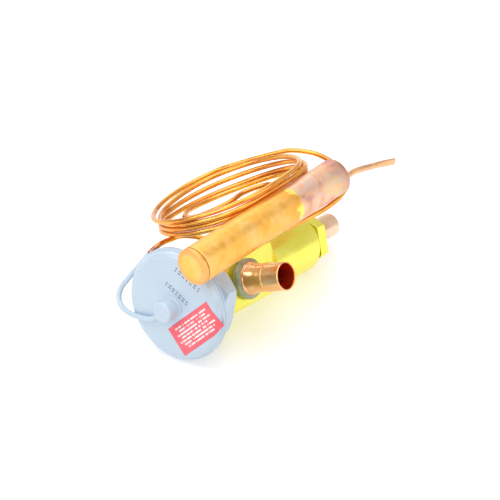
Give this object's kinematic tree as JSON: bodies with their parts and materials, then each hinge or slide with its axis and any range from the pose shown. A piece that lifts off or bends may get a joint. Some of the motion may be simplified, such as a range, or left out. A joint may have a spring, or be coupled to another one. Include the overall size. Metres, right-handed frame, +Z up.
{
  "type": "refrigerant expansion valve",
  "caption": "Brass refrigerant valve with a painted diaphragm element, a coiled copper capillary, a sensing bulb, a side outlet socket and an inlet tube.",
  "frame": {"origin": "centre of the base of the bounding box, on the surface that the valve rests on", "axes": "+X level, along the valve from its diaphragm element to its inlet tube; +Z up; +Y away from the side outlet"},
  "size_m": [0.1582, 0.0978, 0.0762],
  "materials": {
    "painted_case": "semi-gloss paint",
    "painted_nut": "semi-gloss paint",
    "brass": "machined",
    "copper": "drawn copper",
    "coil_copper": "annealed copper",
    "bulb_copper": "heat-tinted copper",
    "solder": "dull brazing",
    "steel": "satin",
    "label": "satin film",
    "gasket": "matt"
  },
  "bodies": {
    "valve": {"upper_case": "painted_case", "lower_case": "painted_case", "capillary_boss": "painted_case", "element_nut": "painted_nut", "diaphragm": "steel", "element_label": "label", "body_gasket": "gasket", "valve_body": "brass", "inlet_nut": "brass", "port_insert": "brass", "superheat_spring": "steel", "spring_seat": "brass", "adjusting_nut": "brass", "inlet_strainer": "steel", "inlet_tube": "copper", "outlet_ring": "solder", "outlet_stub": "copper", "bulb_shell": "bulb_copper", "bulb_cap": "bulb_copper", "capillary_tube": "coil_copper", "charging_tube": "copper"},
    "pin_assembly": {"buffer_plate": "brass", "push_rods": "steel", "pin_carrier": "brass", "valve_pin": "steel"}
  },
  "joints": [
    {"name": "pin_lift", "type": "slide", "parent": "valve", "child": "pin_assembly", "axis": [0.9905, 0, -0.1377], "range_m": [0, 0.0009], "stiffness_N_per_m": 2000, "springref_m": -0.0015, "deforming": ["superheat_spring"]}
  ]
}
